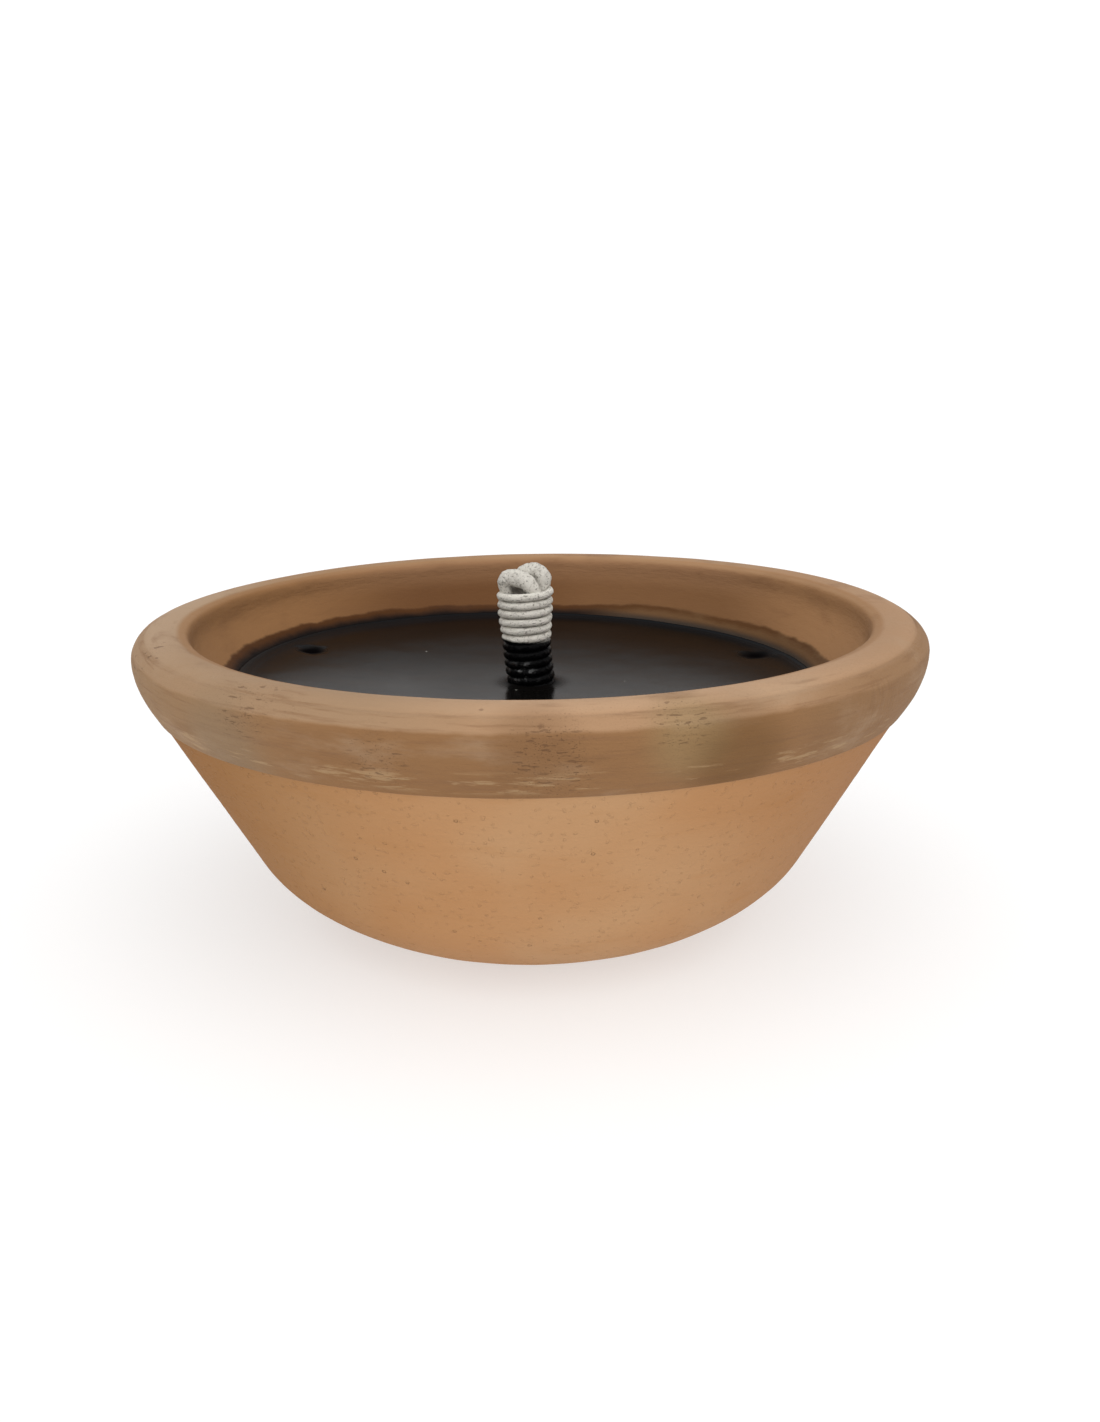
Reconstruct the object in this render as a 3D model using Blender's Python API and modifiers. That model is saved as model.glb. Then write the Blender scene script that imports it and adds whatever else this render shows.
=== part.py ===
"""Terracotta bowl lamp.

A thrown clay bowl with a rolled rim is filled with dark wax.  An upright wick stands in the middle:
two folded cotton cords, bound with twine from the bowl's floor to just below their bends, in a
tinplate foot.  Metres, +Z up, origin on the resting face, at the bowl's axis.
"""

from math import cos, pi, radians, sin, tan

import bpy
from mathutils import Vector

MM = 0.001

# Driving dimensions
RIM_RADIUS = 120 * MM  # widest point of the rolled rim
WAX_DEPTH = 62.2 * MM  # from the bowl's floor up to the wax's edge
WAX_DISH = 3.4 * MM  # the wax has sunk this far round the wick
FLOOR_THICKNESS = 14 * MM
BASE_RADIUS = 49.5 * MM  # flat resting face
CORD_DIAMETER = 4.0 * MM  # folded cotton cord
TWINE_DIAMETER = 2.4 * MM
GAP = 0.3 * MM  # between neighbouring solids

# Rolled rim: a leaning ellipse, its outer side higher than its inner side
RIM_HALF_WIDTH = 12.3 * MM
RIM_HALF_HEIGHT = 8.4 * MM
RIM_LEAN = radians(14.2)
RIM_CENTRE = Vector((RIM_RADIUS - 12.1 * MM, 86.8 * MM))
RIM_FOOT = Vector((RIM_RADIUS - 5.5 * MM, 73.6 * MM))  # where the rim's band meets the wall
RIM_STEP = 0.9 * MM  # the band stands this far proud of the wall
CROWN_END = radians(95)  # where the ellipse gives way to the rim's inner side
LIP = Vector((RIM_RADIUS - 17.4 * MM, 89.5 * MM))  # steepest place of the inner side

# Wall and floor, as (radius, height)
WALL_SLOPE = 0.545  # change of radius with height
WALL_BOTTOM_Z = 26.2 * MM
WAX_LEVEL = FLOOR_THICKNESS + WAX_DEPTH
INNER_RADIUS_AT_WAX = RIM_RADIUS - 30.8 * MM
INNER_FLOOR_RADIUS = 44 * MM

# Wick
LEG_SPACING = CORD_DIAMETER + GAP
BUNDLE_TURN = radians(-26)  # the right end of the front bend comes forward
BACK_RISE = 1.3 * MM  # the back cord's bend stands this much higher
WICK_BASE = WAX_LEVEL - WAX_DISH  # where the wick comes out of the wax
WICK_LEAN = radians(2.8)  # towards -X, above the wax
TWINE_PITCH = 2.6 * MM
TWINE_RADIUS_SOAKED = 6.6 * MM  # of the twine's centre line
TWINE_RADIUS_DRY = 7.7 * MM
SOAKED_TOP = WICK_BASE + 13 * MM  # wax has crept up the binding to here
BINDING_TOP = WICK_BASE + 29.2 * MM

# Tinplate foot
PLATE_RADIUS = 15 * MM
TIN = 0.5 * MM
COLLAR_RADIUS = TWINE_RADIUS_SOAKED + TWINE_DIAMETER / 2 + GAP  # inside
COLLAR_HEIGHT = 6 * MM
PLATE_TOP = FLOOR_THICKNESS + GAP + TIN
WICK_BOTTOM = PLATE_TOP + GAP

TURN_STEPS = 64  # facets round a turned piece
TWINE_POINTS_PER_TURN = 12


def clear_scene():
    for obj in list(bpy.data.objects):
        bpy.data.objects.remove(obj)


def new_collection(name):
    collection = bpy.data.collections.new(name)
    bpy.context.scene.collection.children.link(collection)
    return collection


def new_material(name, colour, roughness, metallic=0.0):
    material = bpy.data.materials.new(name)
    material.use_nodes = True
    shader = material.node_tree.nodes["Principled BSDF"]
    shader.inputs["Base Color"].default_value = (*colour, 1.0)
    shader.inputs["Roughness"].default_value = roughness
    shader.inputs["Metallic"].default_value = metallic
    return material


def bezier(start, handle_1, handle_2, end, count):
    """Points of a cubic curve, leaving out its start."""
    points = []
    for i in range(1, count + 1):
        t = i / count
        s = 1 - t
        points.append(s**3 * start + 3 * s * s * t * handle_1 + 3 * s * t * t * handle_2 + t**3 * end)
    return points


def through(points, per_span):
    """A smooth (Catmull-Rom) curve through the points, in order, both ends included."""
    ends = [2 * points[0] - points[1], *points, 2 * points[-1] - points[-2]]
    curve = [points[0]]
    for before, a, b, after in zip(ends, ends[1:], ends[2:], ends[3:]):
        curve += bezier(a, a + (b - before) / 6, b - (after - a) / 6, b, per_span)
    return curve


def turned(name, profile, closed, material, collection):
    """A solid turned about Z from a profile of (radius, height) points that runs down its outer side."""
    count = len(profile)
    edges = [(i, i + 1) for i in range(count - 1)]
    if closed:
        edges.append((count - 1, 0))
    mesh = bpy.data.meshes.new(name)
    mesh.from_pydata([(radius, 0, height) for radius, height in profile], edges, [])
    obj = bpy.data.objects.new(name, mesh)
    collection.objects.link(obj)
    screw = obj.modifiers.new("Turn", "SCREW")
    screw.steps = TURN_STEPS
    screw.render_steps = TURN_STEPS
    screw.use_merge_vertices = True
    screw.merge_threshold = 0.00001
    screw.use_smooth_shade = True
    mesh.materials.append(material)
    return obj


def tube(name, points, diameter, bevel_resolution, material, collection):
    """A round cord along the points."""
    curve = bpy.data.curves.new(name, "CURVE")
    curve.dimensions = "3D"
    curve.bevel_depth = diameter / 2
    curve.bevel_resolution = bevel_resolution
    curve.use_fill_caps = True
    spline = curve.splines.new("POLY")
    spline.points.add(len(points) - 1)
    for target, point in zip(spline.points, points):
        target.co = (*point, 1.0)
    obj = bpy.data.objects.new(name, curve)
    collection.objects.link(obj)
    curve.materials.append(material)
    return obj


# --- bowl ---------------------------------------------------------------------------------------


def rim_point(angle):
    """A point of the rim's ellipse; 0 is its outer end and 90 degrees its top."""
    along = RIM_HALF_WIDTH * cos(angle)
    across = RIM_HALF_HEIGHT * sin(angle)
    lean = Vector((cos(RIM_LEAN), sin(RIM_LEAN)))
    return RIM_CENTRE + along * lean + across * Vector((-lean.y, lean.x))


def inner_wall():
    """The inside from the floor's edge up to the wax line, as (radius, height)."""
    floor_edge = Vector((INNER_FLOOR_RADIUS, FLOOR_THICKNESS))
    wax_edge = Vector((INNER_RADIUS_AT_WAX, WAX_LEVEL))
    heel = Vector((66 * MM, 14 * MM))
    shoulder = wax_edge - 40 * MM * Vector((WALL_SLOPE, 1)).normalized()
    return [floor_edge, *bezier(floor_edge, heel, shoulder, wax_edge, 8)]


def lip():
    """The inside from above the wax line to the end of the crown, as (radius, height)."""
    wax_edge = Vector((INNER_RADIUS_AT_WAX, WAX_LEVEL))
    crown_end = rim_point(CROWN_END)
    steep = Vector((0.25, 0.97))
    flare_handle = wax_edge + 6 * MM * Vector((0.7, 0.71))
    crown_handle = crown_end - 2.2 * MM * Vector((0.95, 0.3))
    return [
        *bezier(wax_edge, flare_handle, LIP - 4.6 * MM * steep, LIP, 4),
        *bezier(LIP, LIP + 2.4 * MM * steep, crown_handle, crown_end, 4),
    ]


def outer_wall():
    """The outside from just under the rim's band down to the resting face, as (radius, height)."""
    top = RIM_FOOT - Vector((RIM_STEP, 0))
    drop = top.y - WALL_BOTTOM_Z
    bottom = Vector((top.x - WALL_SLOPE * drop, WALL_BOTTOM_Z))
    downwards = (bottom - top).normalized()
    base_edge = Vector((BASE_RADIUS, 0))
    heel = bottom + 19.6 * MM * downwards
    return [top, bottom, *bezier(bottom, heel, base_edge + Vector((1.6 * MM, 0)), base_edge, 8)]


def make_bowl(material, collection):
    crown = [rim_point(radians(angle)) for angle in range(80, -11, -15)]
    below_crown = crown[-1] - Vector((0, 6 * MM))
    above_foot = RIM_FOOT + Vector((2.2 * MM, 3.4 * MM))
    profile = [
        Vector((0, FLOOR_THICKNESS)),
        *inner_wall(),
        *lip(),
        *crown,
        *bezier(crown[-1], below_crown, above_foot, RIM_FOOT, 4),
        *outer_wall(),
        Vector((0, 0)),
    ]
    return turned("bowl", profile, False, material, collection)


# --- wax ----------------------------------------------------------------------------------------


def make_wax(material, collection):
    """The fill follows the bowl's inside and leaves room for the wick; its top is a shallow dish."""
    hole = TWINE_RADIUS_SOAKED + TWINE_DIAMETER / 2 + GAP
    collar = COLLAR_RADIUS + TIN + GAP
    collar_top = PLATE_TOP + COLLAR_HEIGHT + GAP
    plate = PLATE_RADIUS + GAP
    bottom = FLOOR_THICKNESS + GAP
    side = [Vector((point.x - GAP, max(point.y, bottom))) for point in inner_wall()]
    side[0].x = INNER_FLOOR_RADIUS
    well = [
        Vector((plate, bottom)),
        Vector((plate, PLATE_TOP + GAP)),
        Vector((collar, PLATE_TOP + GAP)),
        Vector((collar, collar_top)),
        Vector((hole, collar_top)),
    ]
    wick_edge = Vector((hole, WICK_BASE))
    inner_handle = Vector((40 * MM, WICK_BASE))
    outer_handle = side[-1] - Vector((22 * MM, 0.6 * MM))
    dish = [wick_edge, *bezier(wick_edge, inner_handle, outer_handle, side[-1], 6)[:-1]]
    return turned("wax_fill", [*reversed(side), *well, *dish], True, material, collection)


# --- wick ---------------------------------------------------------------------------------------


def lean_at(height):
    """How far the wick's middle has moved along X at a height."""
    return -tan(WICK_LEAN) * max(0.0, height - WICK_BASE)


def make_cord(name, side, rise, material, collection):
    """One folded cord: up one leg, over its bend, and down the other.  side is -1 in front, 1 behind."""
    half = LEG_SPACING / 2
    loop = [  # from a leg to the top of the bend, as (distance from the middle, height above the wax)
        Vector((half, 22 * MM)),
        Vector((2.4 * MM, 25.5 * MM)),
        Vector((3.4 * MM, 28.0 * MM + rise)),
        Vector((4.3 * MM, 30.2 * MM + rise)),
        Vector((4.5 * MM, 31.3 * MM + rise)),
        Vector((3.9 * MM, 32.6 * MM + rise)),
        Vector((2.2 * MM, 33.3 * MM + rise)),
        Vector((0, 33.4 * MM + rise)),
    ]
    loop = [point + Vector((0, WICK_BASE)) for point in loop]
    other = [Vector((-point.x, point.y)) for point in reversed(loop[:-1])]
    bend = through([*loop, *other], 3)
    leg = [Vector((half, WICK_BOTTOM)), Vector((half, WICK_BASE))]
    other_leg = [Vector((-point.x, point.y)) for point in reversed(leg)]
    route = []
    for along, height in [*leg, *bend, *other_leg]:
        x = along * cos(BUNDLE_TURN) - side * half * sin(BUNDLE_TURN)
        y = along * sin(BUNDLE_TURN) + side * half * cos(BUNDLE_TURN)
        route.append(Vector((x + lean_at(height), y, height)))
    return tube(name, route, CORD_DIAMETER, 2, material, collection)


def binding_radius(height):
    """Radius of the twine's centre line: drawn in where it is soaked, and looser where it is dry."""
    share = min(1.0, max(0.0, (height - SOAKED_TOP) / (BINDING_TOP - SOAKED_TOP)))
    return TWINE_RADIUS_SOAKED + (TWINE_RADIUS_DRY - TWINE_RADIUS_SOAKED) * share**0.5


def make_binding(material, collection):
    """Twine wound round both cords from the foot to the top."""
    first = WICK_BOTTOM + TWINE_DIAMETER / 2
    last = BINDING_TOP - TWINE_DIAMETER / 2
    count = round((last - first) / TWINE_PITCH * TWINE_POINTS_PER_TURN)
    route = []
    for i in range(count + 1):
        angle = 2 * pi * i / TWINE_POINTS_PER_TURN
        height = first + (last - first) * i / count
        radius = binding_radius(height)
        route.append(Vector((radius * cos(angle) + lean_at(height), radius * sin(angle), height)))
    return tube("wick_binding", route, TWINE_DIAMETER, 1, material, collection)


def make_foot(material, collection):
    """A stamped plate with an upright collar that grips the wick."""
    bottom = FLOOR_THICKNESS + GAP
    collar_top = PLATE_TOP + COLLAR_HEIGHT
    profile = [
        Vector((0, PLATE_TOP)),
        Vector((COLLAR_RADIUS, PLATE_TOP)),
        Vector((COLLAR_RADIUS, collar_top)),
        Vector((COLLAR_RADIUS + TIN, collar_top)),
        Vector((COLLAR_RADIUS + TIN, PLATE_TOP)),
        Vector((PLATE_RADIUS, PLATE_TOP)),
        Vector((PLATE_RADIUS, bottom)),
        Vector((0, bottom)),
    ]
    return turned("wick_foot", profile, False, material, collection)


def main():
    clear_scene()
    lamp = new_collection("terracotta_bowl_lamp")
    terracotta = new_material("terracotta", (0.46, 0.25, 0.12), 0.85)
    wax = new_material("dark_wax", (0.02, 0.017, 0.015), 0.35)
    cotton = new_material("cotton", (0.62, 0.58, 0.52), 0.95)
    tinplate = new_material("tinplate", (0.6, 0.6, 0.6), 0.3, 1.0)
    make_bowl(terracotta, lamp)
    make_wax(wax, lamp)
    make_foot(tinplate, lamp)
    make_cord("wick_cord_front", -1, 0.0, cotton, lamp)
    make_cord("wick_cord_back", 1, BACK_RISE, cotton, lamp)
    make_binding(cotton, lamp)


main()
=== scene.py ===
"""Terracotta bowl lamp: the fine shapes and the materials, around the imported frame.

The bowl, the wax and the wick are each made again at full detail in the space of their CAD solids.
Metres, +Z up, origin on the resting face, at the bowl's axis.
"""

from math import cos, exp, hypot, pi, radians, sin

import bpy
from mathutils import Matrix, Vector, noise


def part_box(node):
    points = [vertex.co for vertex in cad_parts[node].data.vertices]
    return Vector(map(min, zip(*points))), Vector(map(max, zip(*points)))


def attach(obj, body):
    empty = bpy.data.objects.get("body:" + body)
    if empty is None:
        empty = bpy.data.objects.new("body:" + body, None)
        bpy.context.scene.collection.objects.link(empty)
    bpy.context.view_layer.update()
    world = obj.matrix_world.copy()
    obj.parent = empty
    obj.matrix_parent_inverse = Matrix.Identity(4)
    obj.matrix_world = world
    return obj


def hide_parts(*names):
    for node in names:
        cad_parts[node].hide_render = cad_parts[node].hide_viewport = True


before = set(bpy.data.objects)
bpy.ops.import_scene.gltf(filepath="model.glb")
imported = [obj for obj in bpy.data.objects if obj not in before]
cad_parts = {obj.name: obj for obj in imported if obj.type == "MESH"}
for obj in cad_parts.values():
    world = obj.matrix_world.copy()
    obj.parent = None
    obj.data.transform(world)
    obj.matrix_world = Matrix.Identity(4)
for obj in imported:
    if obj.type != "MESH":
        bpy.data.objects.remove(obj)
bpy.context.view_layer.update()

MM = 0.001

# Sizes read from the frame
WAX_LOW, WAX_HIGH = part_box("wax_fill")
BINDING_LOW, BINDING_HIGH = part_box("wick_binding")
RIM_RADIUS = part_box("bowl")[1].x
WAX_LEVEL = WAX_HIGH.z
WAX_BOTTOM = WAX_LOW.z
BINDING_BOTTOM = BINDING_LOW.z
BINDING_TOP = BINDING_HIGH.z
CORD_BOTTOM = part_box("wick_cord_front")[0].z

# Bowl, with the same design values as the CAD
RIM_HALF_WIDTH = 12.3 * MM
RIM_HALF_HEIGHT = 8.4 * MM
RIM_LEAN = radians(14.2)
RIM_CENTRE = Vector((RIM_RADIUS - 12.1 * MM, 86.8 * MM))
RIM_FOOT = Vector((RIM_RADIUS - 5.5 * MM, 73.6 * MM))
RIM_STEP = 0.9 * MM
CROWN_END = 95  # degrees round the ellipse where it gives way to the rim's inner side
LIP = Vector((RIM_RADIUS - 17.4 * MM, 89.5 * MM))  # steepest place of the inner side
WALL_SLOPE = 0.545
WALL_BOTTOM_Z = 26.2 * MM
BASE_RADIUS = 49.5 * MM
FLOOR_THICKNESS = 14 * MM
INNER_FLOOR_RADIUS = 44 * MM
INNER_HEEL = Vector((66 * MM, 14 * MM))  # handle of the curve where the floor turns up into the wall
INNER_RADIUS_AT_WAX = RIM_RADIUS - 30.8 * MM
FLARE_SLOPE = 0.95  # outwards per upwards, just above the wax line
RIM_TILT = 0.0086  # the hand-made rim stands a little higher on its right
BACK_LIFT = 0.9  # how much stronger that is at the back, as a share
TILT_STARTS_AT = 30 * MM  # height on the wall; the tilt is complete at the rim
TILT_COMPLETE_AT = 74 * MM
GROOVE_ANGLE = radians(37)  # a fine line turned into the rim's shoulder
GROOVE_DEPTH = 0.22 * MM
GROOVE_REACH = 0.5 * MM
BOWL_STEPS = 360

# Marks on the rim, each as a place and a reach
RIM_PATCHES = [  # and an sRGB colour
    ((38 * MM, -112 * MM, 88 * MM), 15 * MM, (140, 118, 82)),
    ((50 * MM, -106 * MM, 82 * MM), 18 * MM, (92, 64, 30)),
    ((-75 * MM, -90 * MM, 79 * MM), 20 * MM, (132, 112, 88)),
    ((2 * MM, -118 * MM, 86 * MM), 15 * MM, (120, 87, 57)),
]
PIT_CLUSTERS = [
    ((-68 * MM, -96 * MM, 91 * MM), 14 * MM),
    ((-33 * MM, -112 * MM, 83 * MM), 12 * MM),
    ((6 * MM, -118 * MM, 84 * MM), 16 * MM),
    ((36 * MM, -112 * MM, 92 * MM), 12 * MM),
    ((-106 * MM, -52 * MM, 93 * MM), 16 * MM),
]
SALT_STREAKS = [
    ((-85 * MM, -80 * MM, 80 * MM), 12 * MM),
    ((-37 * MM, -111 * MM, 78 * MM), 17 * MM),
    ((2 * MM, -117 * MM, 79 * MM), 20 * MM),
    ((72 * MM, -91 * MM, 80 * MM), 20 * MM),
]
CHIPS = [
    ((3.8 * MM, -118.2 * MM, 91.8 * MM), 1.3 * MM),
    ((78.5 * MM, -88.3 * MM, 86 * MM), 1.5 * MM),
]
COMBED_PLACE = (90 * MM, -78 * MM, 86 * MM)  # fine upright tool marks
COMBED_REACH = 18 * MM

# Wax
WAX_DISH = 3.4 * MM
WAX_TILT = -0.012  # it set a little lower on its right
WICK_BASE = WAX_LEVEL - WAX_DISH
WAX_STEPS = 360
DIMPLES = [(-74.5 * MM, 29 * MM, 4.4 * MM), (75 * MM, 29 * MM, 5.6 * MM)]  # sinks in the wax: x, y, reach

# Wick
CORDS = [  # (piece, node, side, how much higher its bend is, how wide its bend is)
    ("wick_loop_front", "wick_cord_front", -1, 0.0, 1.05),
    ("wick_loop_back", "wick_cord_back", 1, 1.4 * MM, 0.88),
]
WICK_BEND = 2.2 * MM  # how far it leans to its left at the top
BUNDLE_TURN = radians(-26)
LEG_SPACING = 4.3 * MM
CORD_RADIUS = 2.0 * MM  # where the binding squeezes it
LOOP_RADIUS = 2.65 * MM  # where it is free and swells
LOOPS_LOWERED = 0.4 * MM
LOOP_TIP = 0.14  # slope to which each free bend tips over sideways
TWINE_RADIUS = 1.22 * MM
TWINE_PITCH = 2.6 * MM
TWINE_END = 0.25  # it ends this share of a turn past its right side, so at the back
TWINE_STEPS = 64  # per turn
COIL_RADIUS_SOAKED = 6.15 * MM
COIL_RADIUS_DRY = 7.7 * MM
SOAKED_TOP = WICK_BASE + 13.6 * MM
COTTON_COLOURS = ((196, 191, 181), (238, 234, 224))  # between and on its fibres, in sRGB
LOOP_HOLLOW_SHADE = (-3.5 * MM, 0.5 * MM, WICK_BASE + 28.6 * MM)  # painted shade round the hollow under the front cord's bend
WAX_RUN = (-3 * MM, -7 * MM, WICK_BASE + 3 * MM)  # where wax has run down the binding and shines


# --- small tools --------------------------------------------------------------------------------


def smooth(value, low, high):
    """0 below low, 1 above high, and a smooth step between."""
    share = min(1.0, max(0.0, (value - low) / (high - low)))
    return share * share * (3 - 2 * share)


def bezier(start, handle_1, handle_2, end, count):
    """Points of a cubic curve, leaving out its start."""
    points = []
    for i in range(1, count + 1):
        t = i / count
        s = 1 - t
        points.append(s**3 * start + 3 * s * s * t * handle_1 + 3 * s * t * t * handle_2 + t**3 * end)
    return points


def through(points, per_span):
    """A smooth (Catmull-Rom) curve through the points, in order, both ends included."""
    ends = [2 * points[0] - points[1], *points, 2 * points[-1] - points[-2]]
    curve = [points[0]]
    for before, a, b, after in zip(ends, ends[1:], ends[2:], ends[3:]):
        curve += bezier(a, a + (b - before) / 6, b - (after - a) / 6, b, per_span)
    return curve


def add_piece(name, vertices, faces, material, node):
    """A smooth mesh piece that stands for a CAD node."""
    mesh = bpy.data.meshes.new(name)
    mesh.from_pydata(vertices, [], faces)
    mesh.shade_smooth()
    mesh.materials.append(material)
    piece = bpy.data.objects.new(name, mesh)
    bpy.context.scene.collection.objects.link(piece)
    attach(piece, "root")
    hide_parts(node)
    return piece


def turned_faces(rows, steps, closed):
    """Faces between rows of vertices that each go once round the axis."""
    faces = []
    for row in range(rows if closed else rows - 1):
        above = row * steps
        below = (row + 1) % rows * steps
        for i in range(steps):
            j = (i + 1) % steps
            faces.append((above + i, below + i, below + j, above + j))
    return faces


# --- material tools -----------------------------------------------------------------------------


class Field:
    """A value that varies over a surface: an output of one of a material's nodes, with arithmetic."""

    def __init__(self, socket):
        self.socket = socket

    def __add__(self, other):
        return calculate("ADD", self, other)

    def __sub__(self, other):
        return calculate("SUBTRACT", self, other)

    def __rsub__(self, other):
        return calculate("SUBTRACT", other, self)

    def __mul__(self, other):
        return calculate("MULTIPLY", self, other)

    __radd__ = __add__
    __rmul__ = __mul__


def new_node(kind, inputs, field=None):
    """A node in the tree of the first field among its inputs; inputs are by name or number."""
    source = field or next(value for value in inputs.values() if isinstance(value, Field))
    tree = source.socket.id_data
    node = tree.nodes.new(kind)
    for key, value in inputs.items():
        if isinstance(value, Field):
            tree.links.new(value.socket, node.inputs[key])
        else:
            node.inputs[key].default_value = value
    return node


def calculate(operation, *values):
    """One of Blender's Math operations on fields and numbers."""
    node = new_node("ShaderNodeMath", dict(enumerate(values)))
    node.operation = operation
    return Field(node.outputs[0])


def rise(value, low, high):
    """0 at low, 1 at high, and a smooth step between; low may be the larger."""
    node = new_node("ShaderNodeMapRange", {"Value": value, "From Min": low, "From Max": high})
    node.interpolation_type = "SMOOTHSTEP"
    return Field(node.outputs["Result"])


def mix(first, second, factor):
    """The first colour where factor is 0, and the second where it is 1."""
    node = new_node("ShaderNodeMix", {"Factor": factor})
    node.data_type = "RGBA"
    tree = factor.socket.id_data
    for socket, value in zip(node.inputs[6:8], (first, second)):
        if isinstance(value, Field):
            tree.links.new(value.socket, socket)
        else:
            socket.default_value = value
    return Field(node.outputs[2])


def stretched(place, *factors):
    """Coordinates scaled along x, y and z; a larger factor squeezes a pattern along that axis."""
    node = new_node("ShaderNodeVectorMath", {0: place, 1: factors})
    node.operation = "MULTIPLY"
    return Field(node.outputs[0])


def cloud(place, size, detail=3.0, roughness=0.5):
    """Noise from 0 to 1 whose lumps are about size across."""
    inputs = {"Vector": place, "Scale": 1 / size, "Detail": detail, "Roughness": roughness}
    return Field(new_node("ShaderNodeTexNoise", inputs).outputs[0])


def spots(place, spacing, share, radius):
    """1 in small round spots, one in a share of the cells of that spacing; radius is in spacings."""
    node = new_node("ShaderNodeTexVoronoi", {"Vector": place, "Scale": 1 / spacing})
    chosen = rise(Field(node.outputs["Color"]), 1 - share, 1 - share * 0.8)
    return rise(Field(node.outputs["Distance"]), radius, radius * 0.4) * chosen


def paint(red, green, blue):
    """A linear colour from an sRGB one given as 0 to 255."""
    linear = [(value / 255 / 12.92 if value < 11 else ((value / 255 + 0.055) / 1.055) ** 2.4)
              for value in (red, green, blue)]
    return (*linear, 1.0)


def highest(fields):
    """The largest of the fields, place by place."""
    result = fields[0]
    for field in fields[1:]:
        result = calculate("MAXIMUM", result, field)
    return result


def near(surface, spot, reach):
    """1 at a spot (a place in metres), fading to 0 at that reach from it."""
    node = new_node("ShaderNodeVectorMath", {0: surface.place, 1: spot})
    node.operation = "DISTANCE"
    return rise(Field(node.outputs["Value"]), reach, reach * 0.3)


class Surface:
    """A material under construction; place is the object's own coordinates, in metres."""

    def __init__(self, name):
        self.material = bpy.data.materials.new(name)
        self.material.use_nodes = True
        self.tree = self.material.node_tree
        self.shader = self.tree.nodes["Principled BSDF"]
        coordinates = self.tree.nodes.new("ShaderNodeTexCoord")
        self.place = Field(coordinates.outputs["Object"])
        parts = new_node("ShaderNodeSeparateXYZ", {0: self.place})
        self.x, self.y, self.z = (Field(output) for output in parts.outputs)
        self.out = calculate("SQRT", self.x * self.x + self.y * self.y)

    def set(self, **values):
        """Sets or links the shader's inputs, named with _ for a space."""
        for name, value in values.items():
            socket = self.shader.inputs[name.replace("_", " ")]
            if isinstance(value, Field):
                self.tree.links.new(value.socket, socket)
            else:
                socket.default_value = value

    def relief(self, height, strength=1.0):
        """Bumps from a height in metres."""
        node = new_node("ShaderNodeBump", {"Height": height, "Strength": strength, "Distance": 1.0})
        self.tree.links.new(node.outputs[0], self.shader.inputs["Normal"])


# --- bowl ---------------------------------------------------------------------------------------


def rim_point(angle):
    """A point of the rim's ellipse; 0 is its outer end and 90 degrees its top."""
    along = RIM_HALF_WIDTH * cos(angle)
    across = RIM_HALF_HEIGHT * sin(angle)
    lean = Vector((cos(RIM_LEAN), sin(RIM_LEAN)))
    return RIM_CENTRE + along * lean + across * Vector((-lean.y, lean.x))


def bowl_profile():
    """Two runs of points, one from the floor's middle to the wax line and one on to under the base."""
    floor_edge = Vector((INNER_FLOOR_RADIUS, FLOOR_THICKNESS))
    wax_edge = Vector((INNER_RADIUS_AT_WAX, WAX_LEVEL))
    shoulder = wax_edge - 40 * MM * Vector((WALL_SLOPE, 1)).normalized()
    inside = [floor_edge, *bezier(floor_edge, INNER_HEEL, shoulder, wax_edge, 14)]
    steep = Vector((0.25, 0.97))
    flare_handle = wax_edge + 6 * MM * Vector((0.7, 0.71))
    crown_end = rim_point(radians(CROWN_END))
    crown_handle = crown_end - 2.2 * MM * Vector((0.95, 0.3))
    flare = bezier(wax_edge, flare_handle, LIP - 4.6 * MM * steep, LIP, 18)
    turn = bezier(LIP, LIP + 2.4 * MM * steep, crown_handle, crown_end, 12)
    crown = [rim_point(radians(angle)) for angle in range(CROWN_END - 3, -11, -2)]
    below_crown = crown[-1] - Vector((0, 6 * MM))
    above_foot = RIM_FOOT + Vector((2.2 * MM, 3.4 * MM))
    band = bezier(crown[-1], below_crown, above_foot, RIM_FOOT, 28)
    wall_top = RIM_FOOT - Vector((RIM_STEP, 0))
    under_rim = RIM_FOOT - Vector((0.25 * MM, 0.35 * MM))
    into_wall = wall_top + Vector((0.3 * MM, 0.0))
    ledge = bezier(RIM_FOOT, under_rim, into_wall, wall_top - Vector((0.1 * MM, 0.5 * MM)), 5)
    drop = wall_top.y - WALL_BOTTOM_Z
    wall_bottom = Vector((wall_top.x - WALL_SLOPE * drop, WALL_BOTTOM_Z))
    wall = [ledge[-1].lerp(wall_bottom, i / 52) for i in range(1, 53)]
    downwards = (wall_bottom - wall_top).normalized()
    base_edge = Vector((BASE_RADIUS, 0))
    heel_start = wall_bottom + 19.6 * MM * downwards
    heel_end = base_edge + Vector((1.6 * MM, 0.1 * MM))
    heel = bezier(wall_bottom, heel_start, heel_end, base_edge, 46)
    base = [Vector((BASE_RADIUS * share, 0)) for share in (0.97, 0.8, 0.5, 0.25)]
    floor = [Vector((INNER_FLOOR_RADIUS * share, FLOOR_THICKNESS)) for share in (0.2, 0.6)]
    hidden = [*floor, *inside]
    return hidden, [*flare, *turn, *crown, *band, *ledge, *wall, *heel, *base]


def rim_lift(x, y):
    """How much higher the hand-made rim stands at a place than a level one."""
    return RIM_TILT * x * (1 + BACK_LIFT * max(0.0, y) / RIM_RADIUS)


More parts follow.
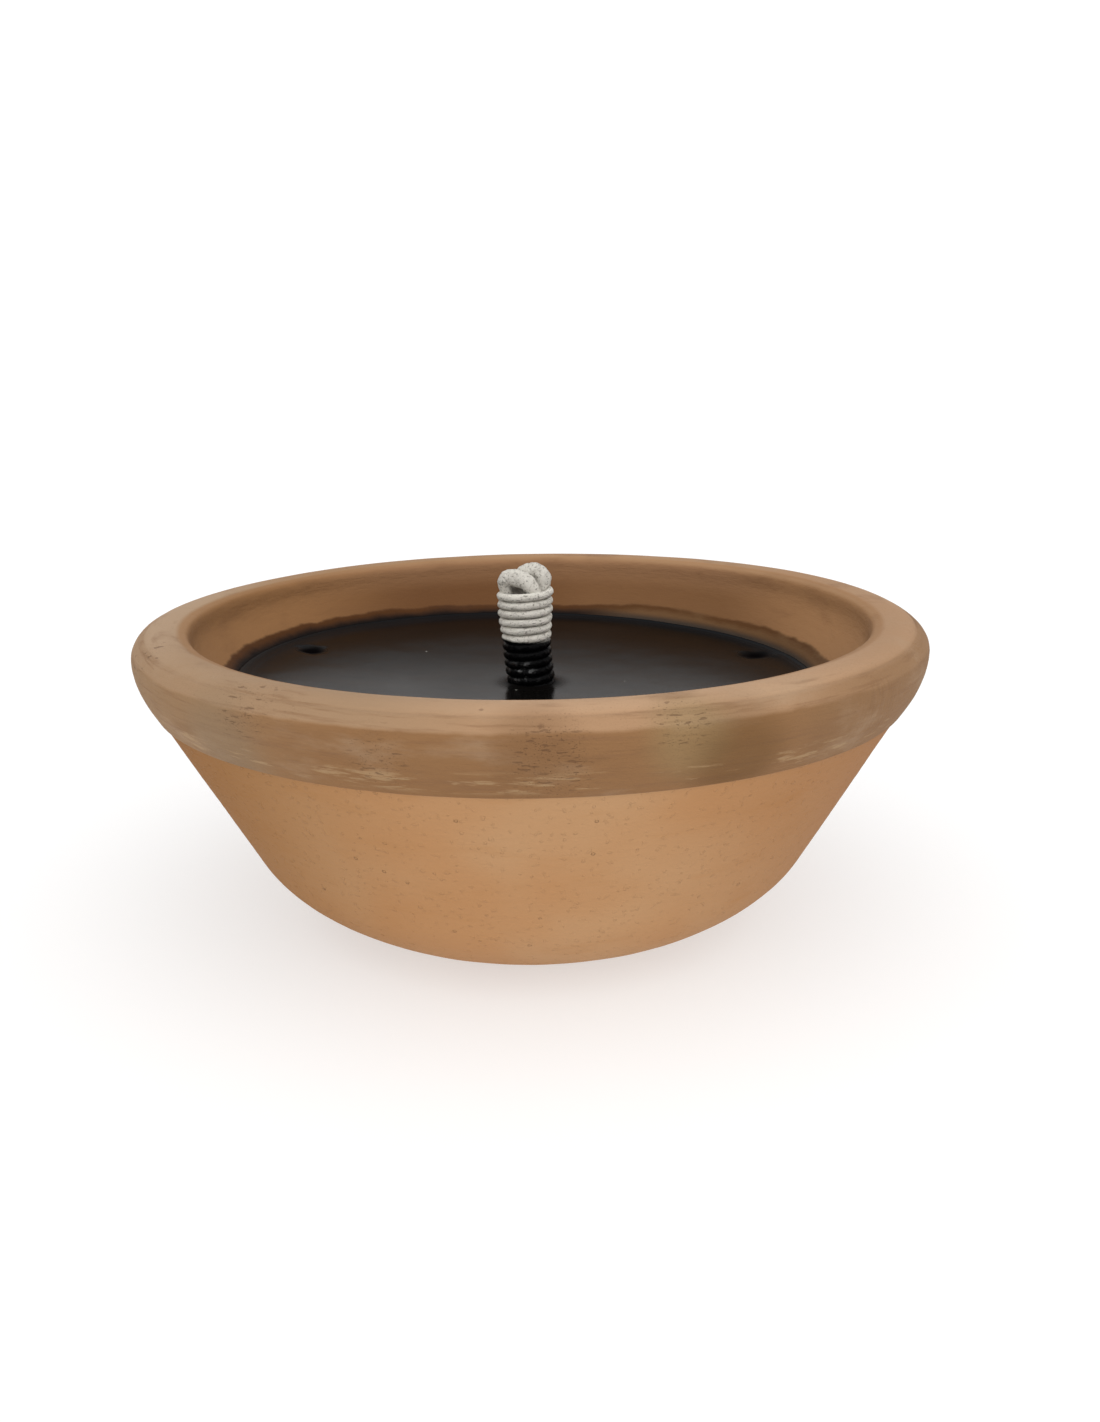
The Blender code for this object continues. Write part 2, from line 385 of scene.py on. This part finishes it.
def clay_offset(height, angle):
    """How far the hand-made surface stands proud of the turned one, in metres."""
    x = cos(angle)
    y = sin(angle)
    sway = 0.30 * MM * noise.noise(Vector((1.3 * x, 1.3 * y, height * 18)))
    lines = 0.05 * MM * noise.noise(Vector((1.5 * x + 7, 1.5 * y, height * 900)))
    ripples = 0.06 * MM * noise.noise(Vector((9 * x, 9 * y + 3, height * 120)))
    return sway + lines + ripples


def make_bowl(material):
    hidden, seen = bowl_profile()
    profile = [*hidden, *seen]
    line = rim_point(GROOVE_ANGLE)
    vertices = []
    for row, point in enumerate(profile):
        before = profile[max(row - 1, 0)]
        after = profile[min(row + 1, len(profile) - 1)]
        along = (after - before).normalized()
        outwards = Vector((-along.y, along.x))
        uneven = smooth(point.y, 0.2 * MM, 3 * MM) if row >= len(hidden) else 0.0
        cut = GROOVE_DEPTH * exp(-(((point - line).length / GROOVE_REACH) ** 2))
        lifted = smooth(point.y, TILT_STARTS_AT, TILT_COMPLETE_AT)
        for i in range(BOWL_STEPS):
            angle = 2 * pi * i / BOWL_STEPS
            proud = uneven * clay_offset(point.y, angle) - cut
            radius = point.x + outwards.x * proud
            x = radius * cos(angle)
            y = radius * sin(angle)
            vertices.append((x, y, point.y + outwards.y * proud + lifted * rim_lift(x, y)))
    faces = turned_faces(len(profile), BOWL_STEPS, False)
    inner_middle = len(vertices)
    outer_middle = inner_middle + 1
    vertices += [(0, 0, FLOOR_THICKNESS), (0, 0, 0)]
    last_row = (len(profile) - 1) * BOWL_STEPS
    for i in range(BOWL_STEPS):
        j = (i + 1) % BOWL_STEPS
        faces.append((inner_middle, i, j))
        faces.append((outer_middle, last_row + j, last_row + i))
    return add_piece("clay_bowl", vertices, faces, material, "bowl")


def terracotta():
    """Fired clay: a dusty rim over a darker band, its top painted lighter where it faces the light, a warm
    smooth body painted darker at its sides as shade, and a wax-stained inside.
    """
    s = Surface("terracotta")
    level = s.z - s.x * RIM_TILT  # height on the tilted rim
    above_ledge = level - RIM_FOOT.y
    inner_side = rise(s.out, 107.5 * MM, 104.5 * MM) * rise(s.z, 68 * MM, 72 * MM)
    band = rise(above_ledge, -0.12 * MM, 0.12 * MM) * (1.0 - inner_side)
    wide = cloud(s.place, 50 * MM, 2)
    rings = cloud(stretched(s.place, 0.1, 0.1, 2.2), 3 * MM, 4, 0.6)  # throwing lines

    # the body, painted browner and darker towards both sides as shade where the light falls off round it
    smears = cloud(stretched(s.place, 1, 1, 4), 26 * MM, 5, 0.6)
    body = mix(paint(173, 128, 86), paint(177, 137, 98), rise(wide, 0.35, 0.65))
    body = mix(body, paint(164, 118, 73), rise(smears, 0.5, 0.8) * 0.4)
    # painted shade: the body's left and right sides darker
    body = mix(body, paint(131, 84, 27), rise(s.x, -15 * MM, -100 * MM) * 0.85)
    body = mix(body, paint(140, 90, 44), rise(s.x, 20 * MM, 105 * MM) * 0.7)

    # rim: pale and dusty on top and painted lighter in steps towards the top where it faces the light,
    # brown below the line on its shoulder, greyer on its left
    wavy = cloud(s.place, 12 * MM, 3) * (1.6 * MM)
    crown = rise(level, 93.2 * MM, 95.2 * MM)
    shoulder = rise(level + wavy, 90.9 * MM, 92.2 * MM)
    left = rise(s.x, -40 * MM, -100 * MM)
    right = rise(s.x, 50 * MM, 100 * MM)
    back = rise(s.y, 30 * MM, 80 * MM)
    brown = mix(paint(134, 98, 64), paint(143, 113, 82), left)
    brown = mix(brown, paint(108, 80, 51), right * 0.7)
    brown = mix(brown, paint(114, 81, 53), rise(smears, 0.48, 0.7) * 0.4)
    # partly painted light: the shoulder above the line and the crown are lighter where they face up into
    # the light, as well as dusty
    rim = mix(brown, paint(164, 129, 97), shoulder)
    rim = mix(rim, paint(138, 105, 74), right * 0.75)
    rim = mix(rim, paint(184, 149, 117), crown)
    rim = mix(rim, paint(150, 123, 95), rise(s.x, 5 * MM, -45 * MM) * shoulder * 0.7)
    rim = mix(rim, paint(178, 152, 126), rise(s.x, -85 * MM, -110 * MM) * crown * 0.6)
    rim = mix(rim, paint(158, 122, 88), back * shoulder * 0.7)
    rim = mix(rim, paint(140, 107, 75), right * shoulder * (1.0 - crown) * 0.7)
    rim = mix(rim, paint(160, 124, 92), right * crown * 0.6)
    rim = mix(rim, paint(124, 90, 62), rise(rings, 0.5, 0.7) * 0.55)
    dust = cloud(stretched(s.place, 1, 1, 3), 30 * MM, 6, 0.6)
    rim = mix(rim, paint(170, 146, 120), rise(dust, 0.5, 0.75) * 0.35)
    for spot, reach, tint in RIM_PATCHES:
        rim = mix(rim, paint(*tint), near(s, spot, reach) * 0.5)
    salt_zone = rise(above_ledge, 8.5 * MM, 5.0 * MM) * rise(above_ledge, 0.6 * MM, 2.4 * MM)
    streaked = highest([near(s, spot, reach) for spot, reach in SALT_STREAKS])
    streaks = cloud(stretched(s.place, 1, 1, 9), 15 * MM, 5, 0.65) + streaked * 0.07
    salt = rise(streaks, 0.56, 0.67)
    rim = mix(rim, paint(172, 144, 108), salt * salt_zone * 0.5)
    colour = mix(body, rim, band)

    # inside: browner down the wall, with a dark stain where the wax has crept up
    above_wax = s.z - s.x * WAX_TILT - WAX_LEVEL
    wall = mix(paint(101, 66, 36), paint(114, 79, 48), rise(s.x, -5 * MM, 25 * MM))
    wall = mix(wall, paint(146, 108, 76), rise(level, 84 * MM, 94 * MM))
    wall = mix(wall, paint(142, 102, 64), rise(s.x, -40 * MM, -100 * MM))
    wall = mix(wall, paint(155, 114, 76), rise(s.x, 66 * MM, 102 * MM))
    # partly painted highlight: the crown's pale, dusty colour carried over its inner edge
    wall = mix(wall, paint(160, 124, 90), rise(level, 93.5 * MM, 95.2 * MM))
    wall = mix(wall, paint(106, 72, 45), rise(smears, 0.48, 0.78) * 0.35)
    right_side = rise(s.x, 10 * MM, 40 * MM)
    ragged = (cloud(s.place, 12 * MM, 4, 0.55) - 0.5) * (2.4 * MM)
    inside_stain = 2.9 * MM + right_side * (2.0 * MM) + ragged - above_wax
    stained = rise(inside_stain, -0.3 * MM, 0.7 * MM)
    stain_edge = stained * rise(inside_stain, 2.6 * MM, 0.6 * MM) * rise(smears, 0.25, 0.5)
    soaked = rise(inside_stain, 0.6 * MM, 3.0 * MM) * (1.0 - right_side)
    film = mix(paint(72, 45, 26), paint(100, 72, 46), right_side)
    film = mix(film, paint(62, 52, 44), rise(above_wax, 2.6 * MM, 0.4 * MM) * right_side)
    wall = mix(wall, film, stained)
    wall = mix(wall, paint(78, 46, 18), stain_edge * 0.75)
    wall = mix(wall, paint(16, 9, 7), soaked)
    colour = mix(colour, wall, inner_side)

    # pits and scratches in the rim, grit and drag marks in the body
    pitted = rise(cloud(s.place, 22 * MM, 2), 0.62, 0.75) * 0.5
    pitted = highest([pitted, *[near(s, spot, reach) for spot, reach in PIT_CLUSTERS]])
    pits = rise(cloud(stretched(s.place, 1, 1, 1.6), 0.45 * MM, 2, 0.4) + pitted * 0.03, 0.68, 0.76)
    scratches = rise(cloud(stretched(s.place, 0.4, 0.4, 2.4), 1.3 * MM, 2, 0.4) + pitted * 0.04, 0.67, 0.74)
    holes = spots(s.place, 14 * MM, 0.3, 0.05)
    chipped = highest([near(s, spot, reach) for spot, reach in CHIPS])
    chips = chipped * rise(cloud(s.place, 1.2 * MM, 2), 0.3, 0.5)
    marks = highest([highest([pits, scratches]) * pitted, holes, chips]) * band
    colour = mix(colour, paint(88, 60, 42), marks * 0.5)
    speckle = rise(cloud(s.place, 0.5 * MM, 2, 0.6), 0.56, 0.74) * rise(wide, 0.4, 0.6) * band
    colour = mix(colour, paint(104, 76, 52), speckle * 0.22)
    outside = (1.0 - band) * (1.0 - inner_side)
    grit = spots(s.place, 6 * MM, 0.4, 0.11) * outside
    bumps = rise(cloud(s.place, 1.7 * MM, 2, 0.4), 0.6, 0.76) * outside
    drag = cloud(stretched(s.place, 1, 1, 4), 5 * MM, 4, 0.6)
    grain = cloud(s.place, 0.8 * MM, 3, 0.6)
    combed = near(s, COMBED_PLACE, COMBED_REACH) * band
    comb = cloud(stretched(s.place, 1, 1, 0.12), 1.4 * MM, 1) * combed
    colour = mix(colour, paint(120, 88, 60), rise(comb, 0.45, 0.7) * 0.3)
    height = grit * (0.5 * MM) + bumps * (0.24 * MM) - marks * (0.15 * MM) + comb * (0.25 * MM)
    height = height + drag * (0.3 * MM) + grain * (0.08 * MM)
    height = height + rings * (band + inner_side * 0.3) * (0.35 * MM)
    oily = stained * inner_side
    s.set(Base_Color=colour, Roughness=0.82 - oily * 0.2, Specular_IOR_Level=0.2 - oily * 0.12)
    s.relief(height)
    return s.material


# --- wax ----------------------------------------------------------------------------------------


def wall_radius(height, x, y):
    """Radius of the bowl's inside just above and below the wax line."""
    above = height - rim_lift(x, y) - WAX_LEVEL
    return INNER_RADIUS_AT_WAX + above * (FLARE_SLOPE if above > 0 else WALL_SLOPE)


def wax_height(radius, angle, turned_height):
    """Height of the wax's top: a tilted, uneven dish that climbs at the wall and at the wick."""
    x = radius * cos(angle)
    y = radius * sin(angle)
    uneven = 0.16 * MM * noise.noise(Vector((x * 28, y * 28, 3)))
    uneven += 0.05 * MM * noise.noise(Vector((x * 110, y * 110, 9)))
    at_wall = 0.9 * MM * exp((radius - INNER_RADIUS_AT_WAX) / (1.1 * MM))
    climb = 0.45 + 0.35 * noise.noise(Vector((2 * cos(angle), 2 * sin(angle), 5)))
    at_wick = climb * MM * exp(-(radius - 7.6 * MM) / (0.7 * MM))
    sunk = 0.0
    for middle_x, middle_y, reach in DIMPLES:
        ragged = 1 + 0.5 * noise.noise(Vector((x * 260, y * 260, middle_x * 50)))
        sunk += 0.8 * MM * exp(-((hypot(x - middle_x, y - middle_y) / (reach * ragged)) ** 4))
    return turned_height - 0.7 * MM + uneven + at_wall + at_wick - sunk + WAX_TILT * x * radius / WAX_HIGH.x


def wax_profile():
    """The wax's top, from the wick to the wall, then its side and the well round the wick's foot."""
    wick_edge = Vector((7.5 * MM, WICK_BASE))
    wall_edge = Vector((INNER_RADIUS_AT_WAX, WAX_LEVEL))
    from_wick = Vector((40 * MM, WICK_BASE))
    from_wall = wall_edge - Vector((22 * MM, 0.6 * MM))
    at_wick = [Vector((wick_edge.x + i * 0.35 * MM, WICK_BASE)) for i in range(8)]
    at_wall = [wall_edge - Vector((step * MM, 0)) for step in (2.4, 1.8, 1.3, 0.9, 0.5, 0.2, 0.0)]
    inner, outer = at_wick[-1].x + 0.3 * MM, at_wall[0].x - 0.3 * MM
    dish = bezier(wick_edge, from_wick, from_wall, wall_edge, 96)
    top = [*at_wick, *[point for point in dish if inner < point.x < outer], *at_wall]

    floor_edge = Vector((INNER_FLOOR_RADIUS, WAX_BOTTOM))
    shoulder = wall_edge - 40 * MM * Vector((WALL_SLOPE, 1)).normalized()
    against_bowl = bezier(wall_edge, shoulder, INNER_HEEL, floor_edge, 16)
    side = [Vector((point.x - 0.3 * MM, max(point.y, WAX_BOTTOM))) for point in against_bowl]
    plate_top = WAX_BOTTOM + 0.8 * MM
    collar_top = WAX_BOTTOM + 6.9 * MM
    well = [Vector((15.3 * MM, WAX_BOTTOM)), Vector((15.3 * MM, plate_top)), Vector((8.9 * MM, plate_top)),
            Vector((8.9 * MM, collar_top)), Vector((8.1 * MM, collar_top)),
            Vector((8.1 * MM, WICK_BASE - 4 * MM)), Vector((wick_edge.x, WICK_BASE - 2.5 * MM))]
    return top, [*side, *well]


def make_wax(material):
    top, hidden = wax_profile()
    vertices = []
    for row, point in enumerate(top):
        reach = row / (len(top) - 1)
        for i in range(WAX_STEPS):
            angle = 2 * pi * i / WAX_STEPS
            height = wax_height(point.x, angle, point.y)
            edge_radius = wall_radius(height, point.x * cos(angle), point.x * sin(angle)) + 0.05 * MM
            radius = point.x + (edge_radius - INNER_RADIUS_AT_WAX) * smooth(reach, 0.9, 1.0)
            vertices.append((radius * cos(angle), radius * sin(angle), height))
    for point in hidden:
        for i in range(WAX_STEPS):
            angle = 2 * pi * i / WAX_STEPS
            vertices.append((point.x * cos(angle), point.x * sin(angle), point.y))
    faces = turned_faces(len(top) + len(hidden), WAX_STEPS, True)
    return add_piece("wax_pool", vertices, faces, material, "wax_fill")


def dark_wax():
    """Almost black wax with a satin skin, a paler film at its edge and a little dust."""
    s = Surface("dark_wax")
    film = cloud(s.place, 34 * MM, 4, 0.55)
    colour = mix(paint(9, 8, 7), paint(15, 13, 12), rise(film, 0.4, 0.7))
    rim_film = rise(s.out, INNER_RADIUS_AT_WAX - 9 * MM, INNER_RADIUS_AT_WAX - 2 * MM)
    colour = mix(colour, paint(28, 30, 33), rim_film * 0.5)
    sinks = [near(s, (x, y, WAX_LEVEL), reach * 1.35) for x, y, reach in DIMPLES]
    sunk = highest(sinks)
    colour = mix(colour, paint(4, 3, 4), sunk)
    dust = spots(s.place, 9 * MM, 0.3, 0.05)
    colour = mix(colour, paint(170, 168, 160), dust)
    fine = cloud(s.place, 3 * MM, 4, 0.6)
    at_wick = near(s, (0, 0, WICK_BASE), 14 * MM)
    dull = highest([sunk, at_wick, rim_film * 0.5])
    s.set(Base_Color=colour, Roughness=0.15 + film * 0.1 + fine * 0.03 + sunk * 0.5 + at_wick * 0.2)
    s.set(Specular_IOR_Level=0.05 - dull * 0.045)
    s.relief(fine * (0.015 * MM) + cloud(s.place, 14 * MM, 2) * (0.06 * MM))
    return s.material


# --- wick ---------------------------------------------------------------------------------------


def lean_at(height):
    """How far the wick has leant to its left at a height, as an x offset."""
    return -WICK_BEND * (1 - exp(-max(0.0, height - WICK_BASE) / (11 * MM)))


def sweep(route, radius_at, sides):
    """Vertices and faces of a closed tube along a route; radius_at(index, angle) gives its radius."""
    vertices = []
    side = (route[1] - route[0]).orthogonal().normalized()
    count = len(route)
    for i, point in enumerate(route):
        along = (route[min(i + 1, count - 1)] - route[max(i - 1, 0)]).normalized()
        side = (side - side.dot(along) * along).normalized()
        other = along.cross(side)
        for k in range(sides):
            angle = 2 * pi * k / sides
            radius = radius_at(i, angle)
            vertices.append(point + radius * (cos(angle) * side + sin(angle) * other))
    faces = []
    for i in range(count - 1):
        for k in range(sides):
            m = (k + 1) % sides
            faces.append((i * sides + k, i * sides + m, (i + 1) * sides + m, (i + 1) * sides + k))
    faces.append(tuple(range(sides - 1, -1, -1)))
    faces.append(tuple(range((count - 1) * sides, count * sides)))
    return vertices, faces


def cord_route(side, rise_of_bend, spread):
    """Up one leg, over the bend and down the other; side is -1 in front and 1 behind.

    Where the cord is free of the binding, its bend swells away from the other one and tips over.
    """
    half = LEG_SPACING / 2
    loop = [  # from a leg to the top of the bend, as (distance from the middle, height above the wax)
        Vector((half, 21.5 * MM)),
        Vector((2.9 * MM, 24.2 * MM)),
        Vector((4.3 * MM * spread, 26.4 * MM + rise_of_bend * 0.5)),
        Vector((4.8 * MM * spread, 28.6 * MM + rise_of_bend)),
        Vector((4.55 * MM * spread, 30.6 * MM + rise_of_bend)),
        Vector((3.5 * MM * spread, 32.2 * MM + rise_of_bend)),
        Vector((1.9 * MM * spread, 32.95 * MM + rise_of_bend)),
        Vector((0, 33.1 * MM + rise_of_bend)),
    ]
    loop = [point + Vector((0, WICK_BASE - LOOPS_LOWERED)) for point in loop]
    other = [Vector((-point.x, point.y)) for point in reversed(loop[:-1])]
    bend = through([*loop, *other], 8)
    low = CORD_BOTTOM
    leg = [Vector((half, low + (loop[0].y - low) * i / 40)) for i in range(40)]
    other_leg = [Vector((-point.x, point.y)) for point in reversed(leg)]
    route = []
    for along, height in [*leg, *bend, *other_leg]:
        free = smooth(height, BINDING_TOP - 2 * MM, BINDING_TOP + 3 * MM)
        apart = side * (half + 0.45 * MM * free)
        x = along * cos(BUNDLE_TURN) - apart * sin(BUNDLE_TURN) + side * 0.95 * MM * free
        y = along * sin(BUNDLE_TURN) + apart * cos(BUNDLE_TURN)
        tipped = height + side * LOOP_TIP * along * free
        route.append(Vector((x + lean_at(height), y, tipped)))
    return route


def make_cord(piece_name, node, side, rise_of_bend, spread, material):
    """One folded cotton cord of three soft strands."""
    route = cord_route(side, rise_of_bend, spread)
    lengths = [0.0]
    for a, b in zip(route, route[1:]):
        lengths.append(lengths[-1] + (b - a).length)

    def radius_at(i, angle):
        height = route[i].z
        free = smooth(height, BINDING_TOP - 1 * MM, BINDING_TOP + 3.5 * MM)
        size = CORD_RADIUS + (LOOP_RADIUS - CORD_RADIUS) * free
        strand = abs(cos(1.5 * (angle - lengths[i] / (3.4 * MM))))
        tufts = noise.noise(Vector((cos(angle), sin(angle), lengths[i] / (1.1 * MM))) * 1.6)
        return size * (0.94 + 0.07 * strand + 0.09 * tufts * free)

    vertices, faces = sweep(route, radius_at, 36)
    return add_piece(piece_name, vertices, faces, material, node)


def coil_radius(height):
    """Radius of the twine's centre line: drawn in where it is soaked, and looser where it is dry."""
    low = SOAKED_TOP - 0.6 * MM
    share = min(1.0, max(0.0, (height - low) / (BINDING_TOP - low)))
    return COIL_RADIUS_SOAKED + (COIL_RADIUS_DRY - COIL_RADIUS_SOAKED) * share**0.5


def make_binding(material):
    """Cotton twine wound round both cords, with its end tucked in at the top."""
    first = BINDING_BOTTOM + TWINE_RADIUS
    last = BINDING_TOP - 0.2 * MM
    count = round((int((last - first) / TWINE_PITCH) + TWINE_END) * TWINE_STEPS)
    route = []
    for i in range(count + 1):
        angle = 2 * pi * i / TWINE_STEPS
        height = first + (last - first) * i / count
        dry = smooth(height, SOAKED_TOP - 2 * MM, SOAKED_TOP + 2 * MM)
        wander = Vector((0.9 * cos(angle), 0.9 * sin(angle), height * 420))
        radius = coil_radius(height) + (0.05 + 0.14 * dry) * MM * noise.noise(wander)
        shift = (0.06 + 0.12 * dry) * MM * noise.noise(wander + Vector((5, 5, 5)))
        tuck = smooth(i, count - TWINE_STEPS * 0.2, count)
        radius -= 2.2 * MM * tuck
        x = radius * cos(angle) + lean_at(height)
        route.append(Vector((x, radius * sin(angle), height + shift - 1.2 * MM * tuck)))

    def radius_at(i, angle):
        dry = smooth(route[i].z, SOAKED_TOP - 2 * MM, SOAKED_TOP + 2 * MM)
        ply = abs(cos(angle - i * 0.16))
        tufts = noise.noise(Vector((cos(angle) * 1.5, sin(angle) * 1.5, i * 0.35)))
        clogged = 1.22 + 0.08 * noise.noise(Vector((i * 0.04, 3, 0)))
        return TWINE_RADIUS * (0.95 * dry + 0.07 * ply * dry + 0.07 * tufts * dry + clogged * (1 - dry))

    vertices, faces = sweep(route, radius_at, 18)
    return add_piece("twine_binding", vertices, faces, material, "wick_binding")


def cotton(name, lightness):
    """Undyed cotton above the wax line, and black waxed cotton below it."""
    s = Surface(name)
    ragged = cloud(s.place, 3 * MM, 3, 0.6)
    dry = rise(s.z + s.x * 0.05 + ragged * (1.2 * MM), SOAKED_TOP + 0.2 * MM, SOAKED_TOP + 1.2 * MM)
    fibres = cloud(stretched(s.place, 1, 1, 2.5), 0.7 * MM, 4, 0.7)
    soil = cloud(s.place, 4 * MM, 4, 0.6)
    shade, light = ([round(lightness * value) for value in colour] for colour in COTTON_COLOURS)
    clean = mix(paint(*shade), paint(*light), fibres)
    clean = mix(clean, paint(150, 142, 132), rise(soil, 0.55, 0.75) * 0.5)
    flecks = rise(cloud(s.place, 0.6 * MM, 3, 0.6), 0.54, 0.70)
    clean = mix(clean, paint(100, 91, 79), flecks * 0.75)
    # painted shade: the cotton darkened round the hollow under the front cord's bend
    clean = mix(clean, paint(92, 80, 68), near(s, LOOP_HOLLOW_SHADE, 4.6 * MM) * 0.75)
    waxed = mix(paint(3, 3, 4), paint(10, 9, 9), rise(fibres, 0.4, 0.75))
    gloss = near(s, WAX_RUN, 6.5 * MM) * rise(cloud(s.place, 2.2 * MM, 2), 0.46, 0.6)
    s.set(Base_Color=mix(waxed, clean, dry), Roughness=0.3 - gloss * 0.15 + soil * 0.2 + dry * 0.5)
    s.set(Specular_IOR_Level=0.05 + dry * 0.15 + gloss * 0.7)
    clots = cloud(s.place, 1.8 * MM, 2) * (1.0 - dry)
    s.relief(fibres * dry * (0.3 * MM) + soil * (0.1 * MM) + clots * (0.7 * MM) - flecks * dry * (0.2 * MM))
    return s.material


def tinplate():
    """Bright tinplate with fine rolling lines and a little dulling."""
    s = Surface("tinplate")
    lines = cloud(stretched(s.place, 12, 1, 1), 4 * MM, 4, 0.6)
    dull = cloud(s.place, 6 * MM, 3)
    colour = mix(paint(176, 176, 172), paint(206, 206, 204), dull)
    s.set(Base_Color=colour, Metallic=1.0, Roughness=0.28 + lines * 0.2)
    s.relief(lines * (0.02 * MM))
    return s.material


# --- studio -------------------------------------------------------------------------------------

FLOOR_GAP = 0.3 * MM
CAMERA_TARGET = Vector((5.8 * MM, 0, 62.5 * MM))
CAMERA_ELEVATION = radians(15.69)
CAMERA_DISTANCE = 0.4169
CAMERA_LENS = 33.15


def make_floor():
    """A white floor, partly lit from within so that the bowl's shadow stays faint."""
    material = bpy.data.materials.new("pale_floor")
    material.use_nodes = True
    shader = material.node_tree.nodes["Principled BSDF"]
    shader.inputs["Base Color"].default_value = (0.5, 0.5, 0.5, 1)
    shader.inputs["Roughness"].default_value = 0.9
    shader.inputs["Emission Color"].default_value = (1, 1, 1, 1)
    shader.inputs["Emission Strength"].default_value = 0.52
    bpy.ops.mesh.primitive_plane_add(size=80, location=(0, 0, -FLOOR_GAP))
    floor = bpy.context.object
    floor.name = "studio_floor"
    floor.data.materials.append(material)


def make_world():
    """A white backdrop low down all round, brightest behind the bowl, under a dimmer room."""
    world = bpy.data.worlds.new("studio")
    world.use_nodes = True
    tree = world.node_tree
    direction = Field(tree.nodes.new("ShaderNodeTexCoord").outputs["Generated"])
    x, y, z = (Field(output) for output in new_node("ShaderNodeSeparateXYZ", {0: direction}).outputs)
    backdrop = rise(z, 0.33, 0.23)
    behind = rise(y, -0.2, 0.6)
    room = rise(x, -1.0, 0.2) * 0.1 + 0.43
    brightness = room + backdrop * (behind * 0.3 + 1.0 - room)
    tree.links.new(brightness.socket, tree.nodes["Background"].inputs["Strength"])
    tree.nodes["Background"].inputs["Color"].default_value = (1, 1, 1, 1)
    bpy.context.scene.world = world


def add_sun(name, direction, softness, strength):
    """A broad light; direction points from the bowl towards it."""
    data = bpy.data.lights.new(name, "SUN")
    data.angle = radians(softness)
    data.energy = strength
    light = bpy.data.objects.new(name, data)
    light.rotation_euler = Vector(direction).to_track_quat("Z", "Y").to_euler()
    bpy.context.scene.collection.objects.link(light)


def make_studio():
    make_floor()
    make_world()
    bpy.context.scene.view_settings.view_transform = "Standard"
    add_sun("overhead_front", (0.05, -0.75, 1.0), 100, 2.0)


def make_camera():
    """The photograph's viewpoint: close, from the front, and a little above."""
    data = bpy.data.cameras.new("camera")
    data.sensor_width = 36
    data.lens = CAMERA_LENS
    data.clip_start = 0.01
    camera = bpy.data.objects.new("camera", data)
    towards_camera = Vector((0, -cos(CAMERA_ELEVATION), sin(CAMERA_ELEVATION)))
    camera.location = CAMERA_TARGET + CAMERA_DISTANCE * towards_camera
    camera.rotation_euler = (pi / 2 - CAMERA_ELEVATION, 0, 0)
    bpy.context.scene.collection.objects.link(camera)
    bpy.context.scene.camera = camera


def main():
    make_camera()
    make_studio()
    make_bowl(terracotta())
    make_wax(dark_wax())
    cord_cotton = cotton("cotton_cord", 0.97)
    for cord in CORDS:
        make_cord(*cord, cord_cotton)
    make_binding(cotton("cotton_twine", 1.0))
    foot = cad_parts["wick_foot"]
    foot.data.materials.clear()
    foot.data.materials.append(tinplate())


main()
